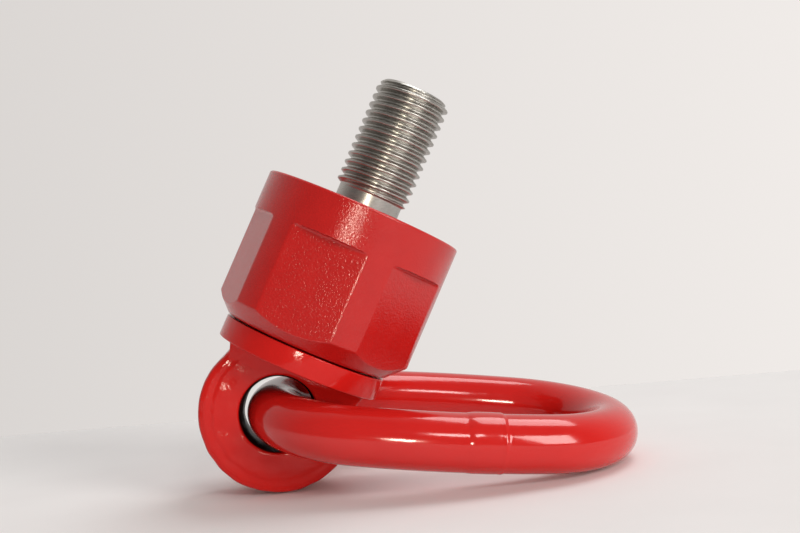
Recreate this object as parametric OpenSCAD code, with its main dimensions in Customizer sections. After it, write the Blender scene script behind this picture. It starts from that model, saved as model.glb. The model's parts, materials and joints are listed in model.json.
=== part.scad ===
// Swivel hoist ring: a threaded stud, a housing with two rows of bearing balls,
// a forged swivel eye and a welded oval load ring. All sizes are in millimetres.
// The object lies as it rests on a table, on the rim of its eye and on the far end
// of its ring, with the stud pointing up and leaning over the ring.

/* [Stud] */
// Nominal diameter of the stud's thread
thread_d = 30; // [29:0.5:30]
// Pitch of the stud's thread
thread_pitch = 3.5; // [3:0.25:3.5]
// Length of the stud beyond the seating face
stud_reach = 51; // [44:1:60]
// Length of the plain neck between the seating face and the thread
neck_length = 6; // [4:0.5:8]
// Diameter of the stud where it passes through the housing
stud_shank_d = 31; // [30.5:0.5:33]
// Diameter of the stud's head inside the housing
head_d = 47.8; // [44:0.2:47.8]
// Thickness of the stud's head
head_t = 10; // [9:0.5:10]

/* [Housing] */
// Outer diameter of the housing
housing_d = 80; // [79:0.5:82]
// Height of the housing, from the seating face to its lower rim
housing_h = 57.6; // [57:0.1:58]
// Height of the round band above the wrench flats
band_h = 15.7; // [15.5:0.1:20]
// Size across the wrench flats
flats_af = 74; // [73.5:0.5:77]
// Direction of the first wrench flat around the stud, in degrees
flats_turn = -103; // [-115:1:-92]
// Size of the 45 degree chamfer around the lower rim
lower_chamfer = 6.9; // [5:0.1:7]
// Thickness of the crown that the stud passes through
crown_t = 14; // [13:0.5:14]
// Diameter of the bore that holds the stud's head and the eye's shank
bore_d = 48.1; // [48:0.05:48.2]

/* [Bearing] */
// Diameter of each bearing ball
ball_d = 10; // [8:0.5:10]
// Number of balls in each row
ball_count = 14; // [8:1:14]
// Depth of the upper row of balls below the seating face
upper_row_depth = 34.5; // [33:0.5:35]
// Depth of the lower row of balls below the seating face
lower_row_depth = 48; // [47.5:0.5:49]
// Clearance around a ball in its raceway
race_clearance = 0.08; // [0.04:0.01:0.1]

/* [Swivel eye] */
// Diameter of the eye's flange
flange_d = 66.4; // [64:0.2:66.4]
// Thickness of the eye's flange
flange_t = 8.5; // [8:0.1:8.5]
// Width of the gap between the housing and the eye's flange
gap = 0.6; // [0.5:0.1:0.8]
// Depth of the eye's centre below the seating face
eye_depth = 85.3; // [85:0.1:87]
// Outer diameter of the eye
eye_d = 62; // [60:0.5:62]
// Thickness of the eye
eye_t = 27; // [26:0.5:28]
// Diameter of the eye's hole at its waist
eye_waist_d = 26.6; // [26.4:0.1:27]
// Diameter of the eye's hole at its faces
eye_mouth_d = 29.9; // [29.5:0.1:31]
// Rounding of the eye's outer edges
eye_edge_r = 3; // [2:0.5:4]

/* [Load ring] */
// Diameter of the ring's bar
bar_d = 22; // [20:0.5:22]
// Length of the ring, measured along the middle of its bar
ring_l = 133; // [120:1:140]
// Width of the ring, measured along the middle of its bar
ring_w = 83; // [82:0.5:86]
// Radius of the ring's ends, measured to the middle of its bar
ring_end_r = 39; // [38:0.5:40]
// How far the weld stands out from the bar
weld_bulge = 0.7; // [0.3:0.1:1]
// Length of the weld's collar
weld_l = 14; // [10:1:20]
// Distance of the weld from the middle of the ring's leg
weld_shift = 11; // [0:1:14]

/* [Resting pose] */
// Angle that the ring is swung from a straight pull, until it meets the flange
ring_swing = 110.19; // [100:0.01:110.2]
// Slope of the ring down to the table, which sets its far end on the table
ring_drop = 8.22; // [7.5:0.01:9]
// Roll of the loose ring around its long axis
ring_roll = 4; // [0:0.5:4]
// Play of the bar below the centre of the eye's hole
ring_sag = 0.6; // [0.4:0.1:1]
// Play of the bar in the eye's hole, away from the ring's far end
ring_play = 1.2; // [0.8:0.1:1.4]

/* [Hidden] */
$fn = 96;
running = 0.05;       // radial clearance of parts that turn or slide in each other
stud_tilt = ring_swing - 90 + ring_drop;
eye_r = eye_d / 2;
bar_r = bar_d / 2;
pitch_r = bore_d / 2; // the balls run where the bore meets the shank
shank_r = bore_d / 2 - running;
head_top = crown_t;
head_bottom = crown_t + head_t;
flange_top = housing_h + gap;
flange_bottom = flange_top + flange_t;

// Thread of 60 degrees with flat crests and roots
thread_r = thread_d / 2;
root_r = thread_r - 0.5413 * thread_pitch;
crest_half = thread_pitch / 16;
root_half = thread_pitch / 8;
run_in = 2.3;         // from the end of the plain neck to the first crest
run_out = 2.4;        // room kept between the last root and the stud's tip
tip_bevel = 2.1;      // how far the tip's chamfer goes into the radius
ridge_lead = 0.7;     // how much sooner than a full pitch the tip's ridge comes
first_crest = neck_length + run_in;
crests = floor((stud_reach - 2 * root_half - run_out - first_crest) / thread_pitch) + 1;
tip_ridge = first_crest + crests * thread_pitch - ridge_lead;
tip_r = thread_r - tip_bevel;

// Retaining ring under the stud's head
clip_t = 1.5;
clip_depth = 1.85;    // how far its groove goes into the bore
clip_w = 3.2;
clip_slot = 40;       // angle of its opening
clip_turn = 197;
lug_r = 2.4;
lug_hole_r = 1.1;
shank_top = head_bottom + 2.4;

// Lock pin of the stud, and the plugs and screws that close the ball holes
pin_r = 3;
pin_turn = flats_turn + 120;
pin_depth_in_head = 6;
upper_plug_turn = flats_turn + 180;
lower_plug_turn = flats_turn + 240;
plug_r = ball_d / 2 + 0.1;
plug_start = pitch_r + ball_d / 2 + 0.25;
plug_l = 3;
screw_r = 6;
screw_start = plug_start + plug_l + running;
screw_sink = 0.3;     // how far pin and screws lie below the flat
socket_af = 6;
socket_depth = 2.6;

// Dust seal in the lower rim
seal_r = 28.8;
seal_cord_r = 1.6;
seal_groove_w = 3.6;
seal_groove_depth = 3.1;

// Outline of the eye: its land, the waist of its hole and the scallops of its neck
land = eye_t - 2 * eye_edge_r;
waist_drop = (eye_mouth_d - eye_waist_d) / 2;
waist_arc_r = ((eye_t / 2) * (eye_t / 2) + waist_drop * waist_drop) / (2 * waist_drop);
neck_half_w = 27.6;
scallop_r = 9.4;
scallop_x = 36;
scallop_depth = 71.6;

// Four tangent arcs of the ring: two ends and two flat sides
end_span = ring_l - 2 * ring_end_r;
side_angle = 2 * atan((ring_w / 2 - ring_end_r) / (end_span / 2));
side_q = (end_span / 2) / sin(side_angle);
side_r = ring_end_r + side_q;
side_offset = side_q * cos(side_angle);

// Places in the resting pose: the middle of the bounding box lies over the origin
stud_axis = [sin(stud_tilt), 0, cos(stud_tilt)];
ring_tip_x = (ring_l - ring_play) * cos(ring_drop) + bar_r - ring_sag * stud_axis[0];
eye_x = (eye_r - ring_tip_x) / 2;
eye_pos = [eye_x, 0, eye_r];
seat_pos = eye_pos + eye_depth * stud_axis;
pivot_pos = eye_pos - ring_sag * stud_axis;

UPPER_BALLS = [for (i = [1:ball_count]) str("upper_ball_", i)];
LOWER_BALLS = [for (i = [1:ball_count]) str("lower_ball_", i)];

// Puts a shape drawn around the stud's axis, with the seating face at z = 0, in its place
module on_stud() {
    translate(seat_pos) rotate([0, stud_tilt, 0]) children();
}

// Turns a shape drawn along +Z to point outwards from the stud's axis
module outwards(turn, depth, start) {
    rotate([0, 0, turn]) translate([start, 0, -depth]) rotate([0, 90, 0]) children();
}

// Half section between two radii and two depths below the seating face
module band(r0, r1, top, bottom) {
    translate([r0, -bottom]) square([r1 - r0, bottom - top]);
}

module raceway_section(depth) {
    translate([pitch_r, -depth]) circle(r = ball_d / 2 + race_clearance);
}

// Half section of the housing, with its bore, grooves and raceways
module housing_section() {
    r = housing_d / 2;
    edge = 0.8;
    clip_top = head_bottom + 0.1;
    difference() {
        polygon([
            [0, 0], [r - edge, 0], [r, -edge], [r, lower_chamfer - housing_h],
            [r - lower_chamfer, -housing_h], [0, -housing_h]]);
        band(-1, stud_shank_d / 2 + running, -1, crown_t + 1);
        band(-1, bore_d / 2, crown_t, housing_h + 1);
        band(-1, bore_d / 2 + clip_depth, clip_top, clip_top + clip_t + 0.1);
        band(seal_r - seal_groove_w / 2, seal_r + seal_groove_w / 2,
            housing_h - seal_groove_depth, housing_h + 1);
        raceway_section(upper_row_depth);
        raceway_section(lower_row_depth);
    }
}

module wrench_flats() {
    flat_w = housing_d / 2; // wider than a flat, and narrow enough to miss the next one
    for (i = [0:5]) rotate([0, 0, flats_turn + 60 * i])
        translate([flats_af / 2, -flat_w / 2, -housing_h - 1])
            cube([housing_d / 2 - flats_af / 2 + 2, flat_w, housing_h + 1 - band_h]);
}

// Stepped hole through which a row's balls go in
module ball_hole(turn, depth) {
    outwards(turn, depth, pitch_r - 1) cylinder(r = plug_r + running, h = housing_d / 2);
    outwards(turn, depth, screw_start - running) cylinder(r = screw_r + running, h = housing_d / 2);
}

module housing() {
    on_stud() color("crimson") difference() {
        rotate_extrude() housing_section();
        wrench_flats();
        ball_hole(upper_plug_turn, upper_row_depth);
        ball_hole(lower_plug_turn, lower_row_depth);
        outwards(pin_turn, crown_t + head_t / 2, pitch_r - 1)
            cylinder(r = pin_r + running, h = housing_d / 2);
    }
}

// Side of the thread from the neck to the tip: a ridge for every turn
function ridge(z) = [
    [root_r, z - thread_pitch / 2 + root_half], [thread_r, z - crest_half],
    [thread_r, z + crest_half], [root_r, z + thread_pitch / 2 - root_half]];

module threaded_stud() {
    neck_r = root_r;
    head_edge = 0.8;
    on_stud() color("silver") difference() {
        rotate_extrude() polygon(concat(
            [[0, -head_bottom], [head_d / 2 - head_edge, -head_bottom],
             [head_d / 2, head_edge - head_bottom], [head_d / 2, -head_top],
             [stud_shank_d / 2, -head_top], [stud_shank_d / 2, 0], [neck_r, 0]],
            [for (i = [0:crests - 1]) each ridge(first_crest + i * thread_pitch)],
            [[tip_r + 1.3, tip_ridge], [tip_r, stud_reach], [0, stud_reach]]));
        outwards(pin_turn, crown_t + head_t / 2, head_d / 2 - pin_depth_in_head)
            cylinder(r = pin_r + running, h = head_d);
    }
}

module stud_lock_pin() {
    start = head_d / 2 - pin_depth_in_head + running;
    on_stud() color("dimgray") outwards(pin_turn, crown_t + head_t / 2, start)
        cylinder(r = pin_r, h = flats_af / 2 - screw_sink - start);
}

module stud_retaining_ring() {
    outer_r = bore_d / 2 + clip_depth - running;
    lug_x = outer_r - clip_w;
    on_stud() color("darkslategray") translate([0, 0, -head_bottom - 0.15 - clip_t])
        rotate([0, 0, clip_turn + clip_slot / 2]) difference() {
            union() {
                rotate_extrude(angle = 360 - clip_slot)
                    translate([outer_r - clip_w, 0]) square([clip_w, clip_t]);
                for (turn = [5, 355 - clip_slot]) rotate([0, 0, turn])
                    translate([lug_x, 0, 0]) cylinder(r = lug_r, h = clip_t);
            }
            for (turn = [5, 355 - clip_slot]) rotate([0, 0, turn])
                translate([lug_x, 0, -1]) cylinder(r = lug_hole_r, h = clip_t + 2);
        }
}

module dust_seal() {
    on_stud() color("black") translate([0, 0, gap / 2 + seal_cord_r - flange_top])
        rotate_extrude() translate([seal_r, 0]) circle(r = seal_cord_r);
}

module ball_plug(turn, depth) {
    on_stud() color("gray") outwards(turn, depth, plug_start) cylinder(r = plug_r, h = plug_l);
}

module set_screw(turn, depth) {
    length = flats_af / 2 - screw_sink - screw_start;
    on_stud() color("dimgray") outwards(turn, depth, screw_start) difference() {
        cylinder(r = screw_r, h = length);
        translate([0, 0, length - socket_depth])
            cylinder(r = socket_af / 2 / cos(30), h = socket_depth + 1, $fn = 6);
    }
}

// Half section of the eye: a waisted hole inside and a flat land with round edges outside
module eye_section() {
    flat_r = eye_r - eye_edge_r;
    intersection() {
        union() {
            translate([0, -eye_t / 2]) square([flat_r, eye_t]);
            translate([0, -land / 2]) square([eye_r, land]);
            for (side = [-1, 1]) translate([flat_r, side * land / 2]) circle(r = eye_edge_r);
        }
        translate([eye_waist_d / 2 + waist_arc_r, 0]) circle(r = waist_arc_r, $fn = 360);
    }
}

// Block between flange and eye, scalloped at both sides and cleared away inside the eye
module eye_neck() {
    inner_r = eye_r - eye_edge_r;
    outer_w = eye_d - inner_r; // clears what stands out beside the eye
    difference() {
        translate([-neck_half_w, -eye_t / 2, -eye_depth])
            cube([2 * neck_half_w, eye_t, eye_depth - flange_bottom + 1]);
        for (side = [-1, 1]) translate([side * scallop_x, 0, -scallop_depth])
            rotate([90, 0, 0]) cylinder(r = scallop_r, h = eye_t + 2, center = true);
        translate([0, 0, -eye_depth - scallop_r]) rotate([90, 0, 0])
            cylinder(r = inner_r, h = eye_t + 2, center = true);
        for (x = [-eye_d, inner_r]) translate([x, -eye_t, -eye_depth - 1])
            cube([outer_w, 2 * eye_t, scallop_r]);
    }
}

// Half section of the eye's shank and flange
module shank_section() {
    difference() {
        union() {
            band(0, shank_r, shank_top, flange_top + 1);
            band(0, flange_d / 2, flange_top, flange_bottom);
        }
        raceway_section(upper_row_depth);
        raceway_section(lower_row_depth);
    }
}

module swivel_eye() {
    on_stud() color("crimson") {
        rotate_extrude() shank_section();
        eye_neck();
        translate([0, 0, -eye_depth]) rotate([90, 0, 0]) rotate_extrude() eye_section();
    }
}

// One arc of the ring's bar, from angle a0 to angle a1 around a point of the ring's plane
module bar_arc(centre_x, centre_y, r, section_r, a0, a1) {
    translate([centre_x, centre_y, 0]) rotate([0, 0, a0]) rotate_extrude(angle = a1 - a0)
        translate([r, 0]) circle(r = section_r);
}

// The weld's collar, a short barrel around the bar of one leg, whose ends lie inside the bar
module weld_collar() {
    root = 0.5;
    bow_r = (weld_l * weld_l / 4 + weld_bulge * weld_bulge) / (2 * weld_bulge);
    half_l = sqrt(bow_r * bow_r - pow(bow_r - weld_bulge - root, 2));
    translate([ring_l / 2, side_offset, 0]) rotate([0, 0, 270 + asin(weld_shift / side_r)])
        translate([side_r, 0, 0]) rotate([90, 0, 0]) rotate_extrude() intersection() {
            translate([bar_r + weld_bulge - bow_r, 0]) circle(r = bow_r);
            translate([0, -half_l]) square([bar_r + weld_bulge, 2 * half_l]);
        }
}

module load_ring() {
    lap = 0.4;              // the legs reach this many degrees into the ends
    leg_r = bar_r - 0.12;   // and are just thin enough to lie inside them there
    translate(pivot_pos) rotate([0, ring_drop, 0]) rotate([ring_roll, 0, 0])
        translate([-ring_play, 0, 0]) color("red") {
            bar_arc(ring_end_r, 0, ring_end_r, bar_r, 90 + side_angle, 270 - side_angle);
            bar_arc(ring_l - ring_end_r, 0, ring_end_r, bar_r, side_angle - 90, 90 - side_angle);
            for (side = [-1, 1]) bar_arc(ring_l / 2, -side * side_offset, side_r, leg_r,
                90 * side - side_angle - lap, 90 * side + side_angle + lap);
            weld_collar();
        }
}

module bearing_ball(depth, index) {
    on_stud() color("lightgray") rotate([0, 0, 360 / ball_count * index])
        translate([pitch_r, 0, -depth]) sphere(d = ball_d);
}

housing();
threaded_stud();
stud_lock_pin();
stud_retaining_ring();
dust_seal();
ball_plug(upper_plug_turn, upper_row_depth);  // upper_ball_plug
ball_plug(lower_plug_turn, lower_row_depth);  // lower_ball_plug
set_screw(upper_plug_turn, upper_row_depth);  // upper_set_screw
set_screw(lower_plug_turn, lower_row_depth);  // lower_set_screw
swivel_eye();
load_ring();
for (i = [0:ball_count - 1]) {
    bearing_ball(upper_row_depth, i);
    bearing_ball(lower_row_depth, i);
}
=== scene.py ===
"""Swivel hoist ring on a pale table: painted housing, forged eye and ring, bare steel stud."""
import json
import math

import bpy
import numpy as np
from mathutils import Euler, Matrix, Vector, noise

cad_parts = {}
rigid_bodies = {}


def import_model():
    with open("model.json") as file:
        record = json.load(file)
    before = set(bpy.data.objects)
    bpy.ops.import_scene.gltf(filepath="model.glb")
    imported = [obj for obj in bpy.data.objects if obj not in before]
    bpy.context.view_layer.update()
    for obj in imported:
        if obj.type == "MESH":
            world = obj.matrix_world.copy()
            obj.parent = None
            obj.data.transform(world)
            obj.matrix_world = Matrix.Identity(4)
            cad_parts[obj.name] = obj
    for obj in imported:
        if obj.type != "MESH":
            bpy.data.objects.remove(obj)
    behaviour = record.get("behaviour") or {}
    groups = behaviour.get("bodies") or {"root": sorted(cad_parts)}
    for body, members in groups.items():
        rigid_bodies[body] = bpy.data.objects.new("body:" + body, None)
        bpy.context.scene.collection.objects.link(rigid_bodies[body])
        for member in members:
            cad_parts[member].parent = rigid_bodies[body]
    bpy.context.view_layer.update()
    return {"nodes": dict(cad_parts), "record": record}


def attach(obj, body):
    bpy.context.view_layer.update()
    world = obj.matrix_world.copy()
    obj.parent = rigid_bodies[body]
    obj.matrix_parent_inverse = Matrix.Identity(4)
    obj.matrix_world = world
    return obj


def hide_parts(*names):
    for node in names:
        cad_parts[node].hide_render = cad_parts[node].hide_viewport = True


MM = 0.001
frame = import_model()
joints = {joint["name"]: joint for joint in frame["record"]["behaviour"]["joints"]}

# Frame of the stud: seat centre, u to its right, v away from the camera, axis to its tip
seat = np.array(joints["eye_swivel"]["pos_m"])
axis = np.array(joints["eye_swivel"]["axis"], float)
axis /= np.linalg.norm(axis)
v_dir = np.array([0.0, 1.0, 0.0])
u_dir = np.cross(v_dir, axis)
pivot = np.array(joints["ring_swing"]["pos_m"])

# Driving dimensions, in metres, the same as the CAD's
HOUSING_R, HOUSING_H = 40 * MM, 57.6 * MM
BAND_H, FLAT_HALF, FLATS_TURN = 15.7 * MM, 37 * MM, math.radians(-103)
CHAMFER, CROWN = 6.9 * MM, 14 * MM
BORE_R, SHANK_R, RACE_R = 24.05 * MM, 15.55 * MM, 5.08 * MM
UPPER_ROW, LOWER_ROW = 34.5 * MM, 48 * MM
BALL_HOLE_R, PIN_HOLE_R, PIN_DEPTH = 6.05 * MM, 3.05 * MM, CROWN + 5 * MM
SEAL_IN, SEAL_OUT, SEAL_DEPTH = 27 * MM, 30.6 * MM, 3.1 * MM
THREAD_R, PITCH, STUD_REACH, NECK = 15 * MM, 3.5 * MM, 51 * MM, 6 * MM
FIRST_CREST = 8.3 * MM
TIP_R, HEAD_R, HEAD_BOTTOM = 12.9 * MM, 23.9 * MM, 24 * MM
BAR_R, RING_L, RING_W, RING_END_R = 11 * MM, 133 * MM, 83 * MM, 39 * MM
RING_DROP, RING_ROLL, RING_PLAY = math.radians(8.22), math.radians(4), 1.2 * MM
EYE_HOLE_R, EYE_SAG, EYE_HALF_T = 14.95 * MM, 0.6 * MM, 13.5 * MM
FLANGE_R, FLANGE_TOP, FLANGE_BOTTOM = 33.2 * MM, 58.2 * MM, 66.7 * MM
WELD_X, WELD_HALF, WELD_BULGE = 77 * MM, 7 * MM, 0.7 * MM
WELD_RIDGE, WELD_RIDGE_W, WELD_REACH = 82.6 * MM, 0.55 * MM, 12 * MM
RING_SKIN = 0.13 * MM  # the bar stays this far inside the CAD's, which leaves room for the weld


def on_stud(points):
    """Points of the stud's frame, in the row frame."""
    p = np.asarray(points, float)
    return seat + p[..., :1] * u_dir + p[..., 1:2] * v_dir + p[..., 2:3] * axis


def smooth_min(a, b, k):
    """The smaller of a and b, with the corner between them rounded over k."""
    h = np.maximum(k - np.abs(a - b), 0) / k
    return np.minimum(a, b) - h * h * k / 4


def levels(start, end, coarse, fine, corners, reach):
    """Heights from start to end: coarse steps, and fine ones within reach of each corner."""
    steps = list(np.linspace(start, end, max(2, round(abs(end - start) / coarse) + 1)))
    for corner in corners:
        steps += list(np.arange(corner - reach, corner + reach, fine))
    low, high = min(start, end), max(start, end)
    steps = np.unique(np.round([s for s in steps if low <= s <= high], 7))
    return steps[::-1] if start > end else steps


def arc(r, z, radius, a0, a1, count):
    """Points of a circular arc in a half section."""
    return [(r + radius * math.cos(a), z + radius * math.sin(a)) for a in np.linspace(a0, a1, count)]


def add_object(name, vertices, faces, smooth_angle=40):
    """A new piece, shaded smooth except where its faces meet at more than smooth_angle degrees."""
    mesh = bpy.data.meshes.new(name)
    mesh.from_pydata([tuple(v) for v in vertices], [], faces)
    mesh.validate()
    mesh.shade_smooth()
    mesh.set_sharp_from_angle(angle=math.radians(smooth_angle))
    piece = bpy.data.objects.new(name, mesh)
    bpy.context.collection.objects.link(piece)
    return piece


def tube_faces(rows, columns, close_rows):
    """Quads of a grid whose columns run round, and whose rows run round too if close_rows."""
    faces = []
    for i in range(rows if close_rows else rows - 1):
        a, b = i * columns, ((i + 1) % rows) * columns
        for j in range(columns):
            k = (j + 1) % columns
            faces.append((a + j, a + k, b + k, b + j))
    return faces


def cut(piece, cutter):
    """Takes cutter's shape out of piece, and removes cutter."""
    modifier = piece.modifiers.new("cut", "BOOLEAN")
    modifier.operation, modifier.object, modifier.solver = "DIFFERENCE", cutter, "EXACT"
    bake(piece)
    bpy.data.objects.remove(cutter)


def bake(piece):
    """Applies piece's modifiers to its mesh."""
    bpy.context.view_layer.update()
    shape = piece.evaluated_get(bpy.context.evaluated_depsgraph_get())
    mesh = bpy.data.meshes.new_from_object(shape)
    piece.modifiers.clear()
    piece.data = mesh


# ---------------------------------------------------------------- housing

def housing_radius(turn, depth):
    """Outer radius at each turn around the stud and depth below the seating face."""
    edge, fillet, lip = 1.0 * MM, 1.3 * MM, 0.12 * MM
    soft, flat_soft = 0.5 * MM, 0.25 * MM
    ledge, clear = 3 * MM, 20 * MM  # the flats end at the ledge, and nothing of them is left above it
    z = -depth
    top = HOUSING_R - edge + np.sqrt(np.maximum(edge ** 2 - np.maximum(z + edge, 0) ** 2, 0))
    low = HOUSING_R + (z + HOUSING_H - CHAMFER)
    body = smooth_min(top, low, soft)
    side = (turn - FLATS_TURN + math.pi / 6) % (math.pi / 3) - math.pi / 6
    above = z + BAND_H
    root = np.clip(above + fillet, 0, fillet)
    step = fillet - np.sqrt(np.maximum(fillet ** 2 - root ** 2, 0))
    step = step + np.clip(above / lip, 0, 1) * ledge
    step = step + (above > lip) * clear
    return smooth_min(body, FLAT_HALF / np.cos(side) + step, flat_soft)


def make_housing():
    """Housing with its flats, its bore and raceways, and the three drilled holes at the back."""
    columns = 720
    turns = np.linspace(0, 2 * math.pi, columns, endpoint=False)
    edge = 1.0 * MM
    chamfer_top = HOUSING_H - CHAMFER
    depths = levels(0, HOUSING_H - 0.3 * MM, 1.2 * MM, 0.12 * MM,
                    (0.5 * MM, BAND_H + 0.6 * MM, chamfer_top, chamfer_top + 2.5 * MM), 1.1 * MM)
    rings = [(housing_radius(turns, np.full(columns, d)), -d) for d in depths]
    inner = [(HOUSING_R - CHAMFER - edge / 2, -HOUSING_H), (SEAL_OUT, -HOUSING_H),
             (SEAL_OUT, SEAL_DEPTH - HOUSING_H), (SEAL_IN, SEAL_DEPTH - HOUSING_H),
             (SEAL_IN, -HOUSING_H), (BORE_R, -HOUSING_H)]
    for row in (LOWER_ROW, UPPER_ROW):
        inner += arc(BORE_R, -row, RACE_R, -math.pi / 2, math.pi / 2, 9)
    inner += [(BORE_R, -CROWN), (SHANK_R, -CROWN), (SHANK_R, 0)]
    rings += [(np.full(columns, r), z) for r, z in inner]
    grid = np.array([np.stack([r * np.cos(turns), r * np.sin(turns), np.full(columns, z)], 1)
                     for r, z in rings])
    piece = add_object("housing_shell", on_stud(grid.reshape(-1, 3)),
                       [f[::-1] for f in tube_faces(len(grid), columns, True)])
    for turn, depth, radius in ((math.radians(180), UPPER_ROW, BALL_HOLE_R),
                                (math.radians(240), LOWER_ROW, BALL_HOLE_R),
                                (math.radians(120), PIN_DEPTH, PIN_HOLE_R)):
        cut(piece, drill(FLATS_TURN + turn, depth, radius))
    piece.data.shade_smooth()
    piece.data.set_sharp_from_angle(angle=math.radians(40))
    return piece


def drill(turn, depth, radius):
    """A round cutter that points outwards from the stud's axis."""
    sides, start, end = 96, 30 * MM, 45 * MM
    rings = []
    for reach in (start, end):
        for a in np.linspace(0, 2 * math.pi, sides, endpoint=False):
            y, z = radius * math.cos(a), radius * math.sin(a) - depth
            rings.append((reach * math.cos(turn) - y * math.sin(turn),
                          reach * math.sin(turn) + y * math.cos(turn), z))
    faces = tube_faces(2, sides, False)
    faces += [tuple(range(sides))[::-1], tuple(range(sides, 2 * sides))]
    return add_object("cutter", on_stud(rings), faces)


# ---------------------------------------------------------------- stud

def stud_radius(turn, z):
    """Radius of the stud above the seating face: neck, right-hand thread and chamfered tip."""
    root_r = THREAD_R - 0.5413 * PITCH
    flank, half_width, crest_soft = 1.7320508, 0.42 * PITCH, 0.4 * MM  # 60 degree thread
    run_in, tip_slope, tip_soft = 1.4 * MM, 0.93, 0.25 * MM
    lead = FIRST_CREST + PITCH * (turn - math.pi) / (2 * math.pi)
    away = np.abs((z - lead + PITCH / 2) % PITCH - PITCH / 2)
    ridge = np.maximum(smooth_min((half_width - away) * flank, THREAD_R - root_r, crest_soft), 0)
    fade = np.clip((z - NECK) / run_in, 0, 1)
    wide = root_r + ridge * fade * fade * (3 - 2 * fade)
    tip = TIP_R + (STUD_REACH - z) * tip_slope
    return smooth_min(wide, tip, tip_soft)


def make_stud():
    """Stud with its head inside the housing, its plain neck and its thread."""
    columns, chamfer, running = 180, 0.8 * MM, 0.05 * MM
    turns = np.linspace(0, 2 * math.pi, columns, endpoint=False)
    lower = [(HEAD_R - chamfer, -HEAD_BOTTOM), (HEAD_R, chamfer - HEAD_BOTTOM), (HEAD_R, -CROWN),
             (SHANK_R - running, -CROWN), (SHANK_R - running, 0)]
    rings = [(np.full(columns, r), np.full(columns, z)) for r, z in lower]
    for z in np.arange(0, STUD_REACH - 0.2 * MM, 0.14 * MM):
        rings.append((stud_radius(turns, np.full(columns, z)), np.full(columns, z)))
    rounding = [(TIP_R, STUD_REACH - 0.15 * MM), (TIP_R - 0.15 * MM, STUD_REACH)]
    rings += [(np.full(columns, r), np.full(columns, z)) for r, z in rounding]
    grid = np.array([np.stack([r * np.cos(turns), r * np.sin(turns), z], 1) for r, z in rings])
    last = (len(grid) - 1) * columns
    faces = tube_faces(len(grid), columns, False)
    faces += [tuple(range(columns))[::-1], tuple(range(last, last + columns))]
    return add_object("stud_with_thread", on_stud(grid.reshape(-1, 3)), faces, 50)


# ---------------------------------------------------------------- eye

FORGED_BELOW = 69 * MM  # the forging's dents start this far below the seating face
DENT_DEPTH = 0.40 * MM
LAND_R, LAND_DEPTH = 24.5 * MM, 0.30 * MM  # step around the eye's face
FLANGE_REACH, FLANGE_SINK = 0.5 * MM, 0.15 * MM  # keeps the forging inside the turned flange


def turned_flange():
    """The flange's machined rim, with crisp rounded corners."""
    skin, edge, inner = 0.03 * MM, 0.5 * MM, 23 * MM
    r, top, bottom = FLANGE_R - skin, -FLANGE_TOP - skin, skin - FLANGE_BOTTOM
    quarter = math.pi / 2
    profile = ([(inner, top)] + arc(r - edge, top - edge, edge, quarter, 0, 6)
               + arc(r - edge, bottom + edge, edge, 0, -quarter, 6) + [(inner, bottom)])
    turns = np.linspace(0, 2 * math.pi, 256, endpoint=False)
    points = [(radius * math.cos(t), radius * math.sin(t), z) for radius, z in profile for t in turns]
    return add_object("turned_flange", on_stud(points), tube_faces(len(profile), len(turns), True))


def make_eye():
    """The forging: the CAD solid with all its corners softened and the dents of the die."""
    source = frame["nodes"]["swivel_eye"]
    piece = bpy.data.objects.new("forged_eye", source.data.copy())
    bpy.context.collection.objects.link(piece)
    remesh = piece.modifiers.new("remesh", "REMESH")
    remesh.mode, remesh.voxel_size = "VOXEL", 0.55 * MM
    soften = piece.modifiers.new("soften", "SMOOTH")
    soften.factor, soften.iterations = 0.5, 9
    bake(piece)
    mesh = piece.data
    count = len(mesh.vertices)
    points, normals = np.empty(count * 3), np.empty(count * 3)
    mesh.vertices.foreach_get("co", points)
    mesh.vertex_normals.foreach_get("vector", normals)
    points, normals = points.reshape(-1, 3), normals.reshape(-1, 3)
    height = (points - seat) @ axis
    forged = np.clip((-height - FORGED_BELOW) / (4 * MM), 0, 1)
    dent = np.array([noise.noise(Vector(p) * 62) + 0.7 * noise.noise(Vector(p) * 170) for p in points])
    from_hole = np.linalg.norm((points - pivot - EYE_SAG * axis)[:, [0, 2]], axis=1)
    land = np.clip((from_hole - LAND_R + dent * 1.2 * MM) / (0.9 * MM), 0, 1)
    on_face = np.abs(points[:, 1]) > EYE_HALF_T - 0.6 * MM
    depth = (0.9 - dent) * DENT_DEPTH + land * on_face * LAND_DEPTH
    points -= normals * (np.maximum(depth, 0) * forged)[:, None]
    in_flange = (height < FLANGE_REACH - FLANGE_TOP) & (height > -FLANGE_BOTTOM - FLANGE_REACH)
    points -= normals * (in_flange * FLANGE_SINK)[:, None]
    mesh.vertices.foreach_set("co", points.reshape(-1))
    mesh.shade_smooth()
    flange = turned_flange()
    for item in bpy.context.view_layer.objects:
        item.select_set(item in (piece, flange))
    bpy.context.view_layer.objects.active = piece
    bpy.ops.object.join()
    return piece


# ---------------------------------------------------------------- load ring

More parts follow.
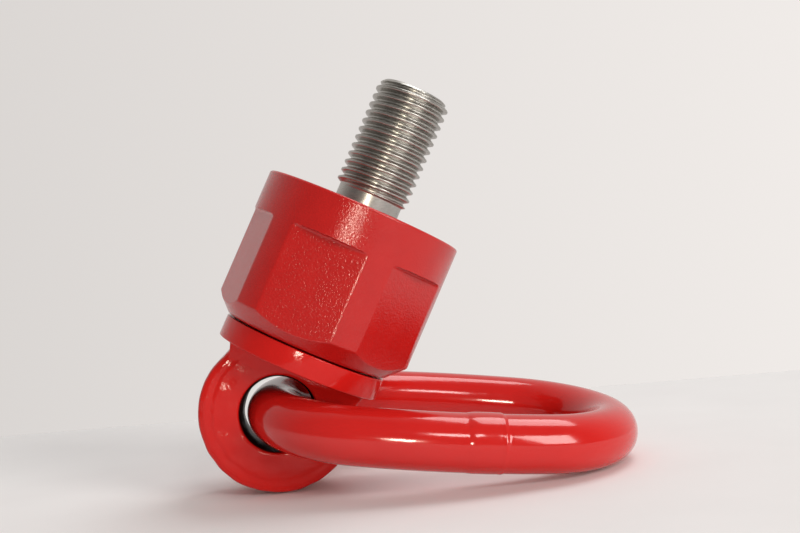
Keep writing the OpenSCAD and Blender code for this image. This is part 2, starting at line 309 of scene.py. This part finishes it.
def ring_path(count):
    """Points and headings along the middle of the ring's bar, from the middle of its near end."""
    span = RING_L - 2 * RING_END_R
    angle = 2 * math.atan((RING_W / 2 - RING_END_R) / (span / 2))
    side_q = span / 2 / math.sin(angle)
    side_r, offset = RING_END_R + side_q, side_q * math.cos(angle)
    near, far = (RING_END_R, 0), (RING_L - RING_END_R, 0)
    quarter = math.pi / 2
    arcs = [(near, RING_END_R, math.pi, 3 * quarter - angle),
            ((RING_L / 2, offset), side_r, 3 * quarter - angle, 3 * quarter + angle),
            (far, RING_END_R, angle - quarter, quarter - angle),
            ((RING_L / 2, -offset), side_r, quarter - angle, quarter + angle),
            (near, RING_END_R, quarter + angle, math.pi)]
    total = sum(r * (a1 - a0) for _, r, a0, a1 in arcs)
    points, headings = [], []
    for centre, r, a0, a1 in arcs:
        for a in np.linspace(a0, a1, max(3, round(count * r * (a1 - a0) / total)), endpoint=False):
            points.append((centre[0] + r * math.cos(a), centre[1] + r * math.sin(a)))
            headings.append(a)
    return np.array(points), np.array(headings)


def weld_height(x, around):
    """How far the weld stands out, at x along the near leg and an angle around the bar."""
    barrel = np.maximum(1 - ((x - WELD_X) / WELD_HALF) ** 4, 0)
    upper = 0.7 + 0.3 * np.sin(around)
    crease = np.exp(-((x - WELD_RIDGE) / WELD_RIDGE_W) ** 2)
    lumps = 1 + 0.35 * np.sin(3 * around + 1) * np.sin(5 * around)
    return WELD_BULGE * (0.85 * barrel * upper + 0.34 * crease * lumps) / 1.2


def make_ring():
    """Oval ring of round bar, swept along its path, with the weld on its near leg."""
    columns = 72
    path, headings = ring_path(620)
    around = np.linspace(0, 2 * math.pi, columns, endpoint=False)
    rows = []
    for (x, y), heading in zip(path, headings):
        radius = np.full(columns, BAR_R - RING_SKIN)
        if y < 0 and abs(x - WELD_X) < WELD_REACH:
            radius = radius + weld_height(x, around)
        out = radius * np.cos(around)
        rows.append(np.stack([x + out * math.cos(heading), y + out * math.sin(heading),
                              radius * np.sin(around)], 1))
    points = np.array(rows).reshape(-1, 3) - [RING_PLAY, 0, 0]
    turn = Euler((0, RING_DROP, 0)).to_matrix() @ Euler((RING_ROLL, 0, 0)).to_matrix()
    placed = points @ np.array(turn).T + pivot
    return add_object("oval_load_ring", placed, tube_faces(len(rows), columns, True), 60)


# ---------------------------------------------------------------- materials

class Nodes:
    """A short way to write a material's nodes. Patterns run in object space, in metres."""

    def __init__(self, name):
        self.material = bpy.data.materials.new(name)
        self.material.use_nodes = True
        self.tree = self.material.node_tree
        self.shader = self.tree.nodes["Principled BSDF"]
        self.place = self.tree.nodes.new("ShaderNodeTexCoord").outputs["Object"]

    def link(self, source, target):
        self.tree.links.new(source, target)

    def set(self, **values):
        for name, value in values.items():
            self.shader.inputs[name.replace("_", " ")].default_value = value

    def noise(self, size, detail=2.0, rough=0.5, place=None):
        """Noise whose blotches are about size metres across."""
        node = self.tree.nodes.new("ShaderNodeTexNoise")
        node.inputs["Scale"].default_value = 1 / size
        node.inputs["Detail"].default_value = detail
        node.inputs["Roughness"].default_value = rough
        self.link(place or self.place, node.inputs["Vector"])
        return node.outputs["Fac"]

    def cells(self, size):
        """Rounded cells about size metres across, low in their middles."""
        node = self.tree.nodes.new("ShaderNodeTexVoronoi")
        node.feature = "SMOOTH_F1"
        node.inputs["Scale"].default_value = 1 / size
        node.inputs["Smoothness"].default_value = 0.6
        self.link(self.place, node.inputs["Vector"])
        return node.outputs["Distance"]

    def span(self, value, low, high, to_low, to_high):
        """Value mapped from low..high to to_low..to_high, and clamped."""
        node = self.tree.nodes.new("ShaderNodeMapRange")
        for name, number in (("From Min", low), ("From Max", high),
                             ("To Min", to_low), ("To Max", to_high)):
            node.inputs[name].default_value = number
        self.link(value, node.inputs["Value"])
        return node.outputs["Result"]

    def maths(self, operation, a, b):
        node = self.tree.nodes.new("ShaderNodeMath")
        node.operation = operation
        for slot, value in zip(node.inputs, (a, b)):
            if isinstance(value, (int, float)):
                slot.default_value = value
            else:
                self.link(value, slot)
        return node.outputs["Value"]

    def mix(self, share, a, b):
        node = self.tree.nodes.new("ShaderNodeMix")
        node.data_type = "RGBA"
        self.link(share, node.inputs["Factor"])
        for slot, colour in ((node.inputs[6], a), (node.inputs[7], b)):
            if isinstance(colour, tuple):
                slot.default_value = (*colour, 1)
            else:
                self.link(colour, slot)
        return node.outputs[2]

    def bump(self, height, depth, strength=1.0, below=None):
        node = self.tree.nodes.new("ShaderNodeBump")
        node.inputs["Distance"].default_value = depth
        node.inputs["Strength"].default_value = strength
        self.link(height, node.inputs["Height"])
        if below:
            self.link(below, node.inputs["Normal"])
        return node.outputs["Normal"]

    def edges(self, low, high):
        """1 on sharp outer edges, 0 elsewhere."""
        node = self.tree.nodes.new("ShaderNodeNewGeometry")
        return self.span(node.outputs["Pointiness"], low, high, 0, 1)

    def inside_eye(self):
        """1 on the wall of the eye's hole, 0 on the rest of the eye: where the hole's painted shade goes.
        """
        centre = pivot + EYE_SAG * axis
        node = self.tree.nodes.new("ShaderNodeVectorMath")
        node.operation = "SUBTRACT"
        self.link(self.place, node.inputs[0])
        node.inputs[1].default_value = tuple(centre)
        flat = self.tree.nodes.new("ShaderNodeVectorMath")
        flat.operation = "MULTIPLY"
        self.link(node.outputs["Vector"], flat.inputs[0])
        flat.inputs[1].default_value = (1, 0, 1)
        length = self.tree.nodes.new("ShaderNodeVectorMath")
        length.operation = "LENGTH"
        self.link(flat.outputs["Vector"], length.inputs[0])
        return self.span(length.outputs["Value"], EYE_HOLE_R - 0.1 * MM, EYE_HOLE_R + 0.15 * MM, 1, 0)

    def stretched(self, along, across):
        """Object space squeezed across the stud's axis, for turning marks."""
        node = self.tree.nodes.new("ShaderNodeMapping")
        node.inputs["Rotation"].default_value = (0, -math.asin(axis[0]), 0)
        node.inputs["Scale"].default_value = (across, across, along)
        self.link(self.place, node.inputs["Vector"])
        return node.outputs["Vector"]


def coarse_paint():
    """Thick powder coat with a gritty orange-peel grain."""
    n = Nodes("coarse_red_paint")
    blotch = n.noise(9 * MM, 3)
    body = n.mix(blotch, (0.43, 0.008, 0.007), (0.52, 0.013, 0.011))
    worn = n.edges(0.53, 0.62)
    n.link(n.mix(n.maths("MULTIPLY", worn, 0.35), body, (0.76, 0.09, 0.08)), n.shader.inputs["Base Color"])
    n.link(n.span(n.noise(1.1 * MM), 0.3, 0.7, 0.12, 0.18), n.shader.inputs["Roughness"])
    peel = n.bump(n.cells(0.8 * MM), 0.10 * MM, 0.6)
    n.link(n.bump(n.noise(0.42 * MM, 2, 0.6), 0.07 * MM, 0.75, peel), n.shader.inputs["Normal"])
    return n.material


def gloss_paint(name, eye_with_hole_shade=False):
    """Glossy paint over a forging, with the faint unevenness of both; on the eye, painted shade colours
    the wall of its hole near black.
    """
    n = Nodes(name)
    body = n.mix(n.noise(22 * MM, 3), (0.52, 0.009, 0.007), (0.60, 0.014, 0.011))
    worn = n.edges(0.54, 0.64)
    painted = n.mix(n.maths("MULTIPLY", worn, 0.3), body, (0.78, 0.12, 0.11))
    gloss = n.span(n.noise(5 * MM, 4), 0.3, 0.7, 0.09, 0.16)
    if eye_with_hole_shade:
        hole = n.inside_eye()
        # Painted shade: the wall of the eye's hole is coloured near black instead of red
        painted = n.mix(hole, painted, (0.003, 0.003, 0.003))
        gloss = n.maths("ADD", gloss, n.maths("MULTIPLY", hole, 0.25))
        n.link(n.span(hole, 0, 1, 0.15, 0), n.shader.inputs["Coat Weight"])
    n.link(painted, n.shader.inputs["Base Color"])
    n.link(gloss, n.shader.inputs["Roughness"])
    wave = n.bump(n.noise(6 * MM, 2), (0.5 if eye_with_hole_shade else 0.08) * MM, 0.5)
    pits = n.bump(n.noise(1.2 * MM, 3), (0.08 if eye_with_hole_shade else 0.02) * MM, 0.45, wave)
    n.link(pits, n.shader.inputs["Normal"])
    n.set(Coat_Weight=0.15, Coat_Roughness=0.06, Specular_IOR_Level=0.22 if eye_with_hole_shade else 0.5)
    return n.material


def machined_steel():
    """Bare turned steel with fine marks around the stud and a little staining."""
    n = Nodes("machined_steel")
    marks = n.noise(1 * MM, 4, 0.6, n.stretched(9, 0.4))
    stain = n.noise(7 * MM, 4, 0.6)
    clean = n.mix(marks, (0.25, 0.24, 0.22), (0.62, 0.605, 0.57))
    stained = n.mix(n.span(stain, 0.5, 0.85, 0, 0.45), clean, (0.24, 0.215, 0.18))
    n.link(stained, n.shader.inputs["Base Color"])
    n.link(n.span(marks, 0.3, 0.7, 0.22, 0.40), n.shader.inputs["Roughness"])
    n.link(n.bump(marks, 0.02 * MM, 0.5), n.shader.inputs["Normal"])
    n.set(Metallic=1.0)
    return n.material


def dark_steel(name, light, dark, rough):
    """Black oxide or phosphated steel with rubbed edges."""
    n = Nodes(name)
    worn = n.edges(0.52, 0.6)
    body = n.mix(n.noise(2 * MM, 4), dark, light)
    n.link(n.mix(worn, body, (0.45, 0.44, 0.42)), n.shader.inputs["Base Color"])
    n.link(n.span(n.noise(0.8 * MM, 3), 0.3, 0.7, rough, rough + 0.15), n.shader.inputs["Roughness"])
    n.link(n.bump(n.noise(0.4 * MM, 3), 0.02 * MM, 0.5), n.shader.inputs["Normal"])
    n.set(Metallic=1.0)
    return n.material


def bearing_steel():
    """Polished steel of the balls."""
    n = Nodes("bearing_steel")
    body = n.mix(n.noise(3 * MM, 2), (0.70, 0.70, 0.71), (0.80, 0.80, 0.81))
    n.link(body, n.shader.inputs["Base Color"])
    n.link(n.span(n.noise(1 * MM, 4), 0.3, 0.7, 0.06, 0.12), n.shader.inputs["Roughness"])
    n.link(n.bump(n.noise(0.5 * MM, 2), 0.003 * MM, 0.4), n.shader.inputs["Normal"])
    n.set(Metallic=1.0)
    return n.material


def seal_rubber():
    """Dull black rubber."""
    n = Nodes("seal_rubber")
    body = n.mix(n.noise(2 * MM, 3), (0.012, 0.012, 0.012), (0.03, 0.03, 0.03))
    n.link(body, n.shader.inputs["Base Color"])
    n.link(n.span(n.noise(0.8 * MM, 3), 0.3, 0.7, 0.5, 0.7), n.shader.inputs["Roughness"])
    n.link(n.bump(n.noise(0.3 * MM, 2), 0.02 * MM, 0.5), n.shader.inputs["Normal"])
    return n.material


def table_top():
    """Pale foam sheet, faintly mottled."""
    n = Nodes("pale_foam")
    body = n.mix(n.noise(60 * MM, 3), (0.82, 0.81, 0.81), (0.88, 0.875, 0.875))
    n.link(body, n.shader.inputs["Base Color"])
    n.link(n.bump(n.noise(1.2 * MM, 3), 0.1 * MM, 0.25), n.shader.inputs["Normal"])
    n.set(Roughness=0.95, Specular_IOR_Level=0.1)
    return n.material


def paint(piece, material):
    """Gives piece this material and no other."""
    piece.data.materials.clear()
    piece.data.materials.append(material)


# ---------------------------------------------------------------- camera, lights, stage

def add_camera():
    """Level with the stud's neck, a little under half a metre away, and rolled a little."""
    camera = bpy.data.objects.new("camera", bpy.data.cameras.new("camera"))
    camera.data.sensor_width, camera.data.lens = 36, 50.68
    camera.data.clip_start = 0.01
    camera.location = seat + np.array([-22.2, -445.6, -15.1]) * MM
    camera.rotation_euler = [math.radians(a) for a in (88.951, 5.117, -4.494)]
    bpy.context.collection.objects.link(camera)
    bpy.context.scene.camera = camera


def add_softbox(name, place, target, size, power, colour=(1, 1, 1)):
    """A rectangular lamp that faces target."""
    light = bpy.data.lights.new(name, "AREA")
    light.shape, light.size, light.size_y = "RECTANGLE", size[0], size[1]
    light.energy, light.color = power, colour
    lamp = bpy.data.objects.new(name, light)
    lamp.location = place
    lamp.rotation_euler = (Vector(target) - Vector(place)).to_track_quat("-Z", "Y").to_euler()
    bpy.context.collection.objects.link(lamp)


def ramp(tree, value, low, high, to_low, to_high):
    """Value mapped from low..high to to_low..to_high, in a world's nodes."""
    node = tree.nodes.new("ShaderNodeMapRange")
    for slot, number in zip(("From Min", "From Max", "To Min", "To Max"), (low, high, to_low, to_high)):
        node.inputs[slot].default_value = number
    tree.links.new(value, node.inputs["Value"])
    return node.outputs["Result"]


def add_world():
    """A pale backdrop, and a room that lights the object more from behind than in front."""
    world = bpy.data.worlds.new("studio")
    world.use_nodes = True
    tree = world.node_tree
    shade = tree.nodes["Background"]
    place = tree.nodes.new("ShaderNodeTexCoord")
    split = tree.nodes.new("ShaderNodeSeparateXYZ")
    tree.links.new(place.outputs["Generated"], split.inputs["Vector"])
    seen = tree.nodes.new("ShaderNodeLightPath").outputs["Is Camera Ray"]
    choose = tree.nodes.new("ShaderNodeMix")
    tree.links.new(seen, choose.inputs["Factor"])
    tree.links.new(ramp(tree, split.outputs["Y"], -0.3, 0.6, 0.20, 0.70), choose.inputs["A"])
    tree.links.new(ramp(tree, split.outputs["X"], -0.45, 0.45, 0.66, 0.88), choose.inputs["B"])
    tree.links.new(choose.outputs["Result"], shade.inputs["Strength"])
    shade.inputs["Color"].default_value = (1.0, 0.955, 0.925, 1)
    bpy.context.scene.world = world


def add_stage():
    """The table, whose far edge runs slightly askew behind the object, and the lamps."""
    size, back, slant = 1.5, 0.205, -0.12
    corners = [(-size, -size, 0), (size, -size, 0),
               (size, back + slant * size, 0), (-size, back - slant * size, 0)]
    floor = add_object("table", corners, [(0, 1, 2, 3)])
    paint(floor, table_top())
    add_world()
    middle = Vector(seat)
    add_softbox("lamp", middle + Vector((-0.24, -2.6, 0.24)), middle, (0.30, 0.30), 14, (1, 0.90, 0.74))
    add_softbox("right", middle + Vector((2.18, -2.47, 1.09)), middle, (1.3, 1.74), 63, (1, 0.96, 0.92))
    add_softbox("top", middle + Vector((0.9, 0.45, 1.9)), middle, (1.2, 1.0), 17)
    add_softbox("window", middle + Vector((0.45, -1.75, 1.1)), middle, (0.42, 0.30), 5, (1, 0.97, 0.94))


add_camera()
add_stage()

bpy.context.scene.view_settings.view_transform = "Standard"
coarse, steel = coarse_paint(), machined_steel()
# The eye's paint also carries the painted shade in its hole
gloss, eye_paint = gloss_paint("ring_red_paint"), gloss_paint("eye_red_paint", True)
for piece, node, body, material, slot in (
        (make_housing(), "housing", "housing_assembly", coarse, "coarse_red_paint"),
        (make_stud(), "threaded_stud", "housing_assembly", steel, "machined_steel"),
        (make_eye(), "swivel_eye", "swivel", eye_paint, "red_paint"),
        (make_ring(), "load_ring", "ring", gloss, "red_paint")):
    paint(piece, material)
    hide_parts(node)
    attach(piece, body)

oxide = dark_steel("black_oxide", (0.10, 0.10, 0.11), (0.05, 0.05, 0.055), 0.35)
spring = dark_steel("spring_steel", (0.22, 0.21, 0.19), (0.14, 0.13, 0.12), 0.4)
balls, rubber = bearing_steel(), seal_rubber()
finishes = {"dark_steel": oxide, "spring_steel": spring, "bearing_steel": balls, "rubber": rubber,
            "machined_steel": steel, "coarse_red_paint": coarse, "red_paint": gloss}
for part in frame["record"]["subparts"]:
    node = frame["nodes"][part["node"]]
    for slot in node.material_slots:
        slot.material = finishes[part["material_slot"]]
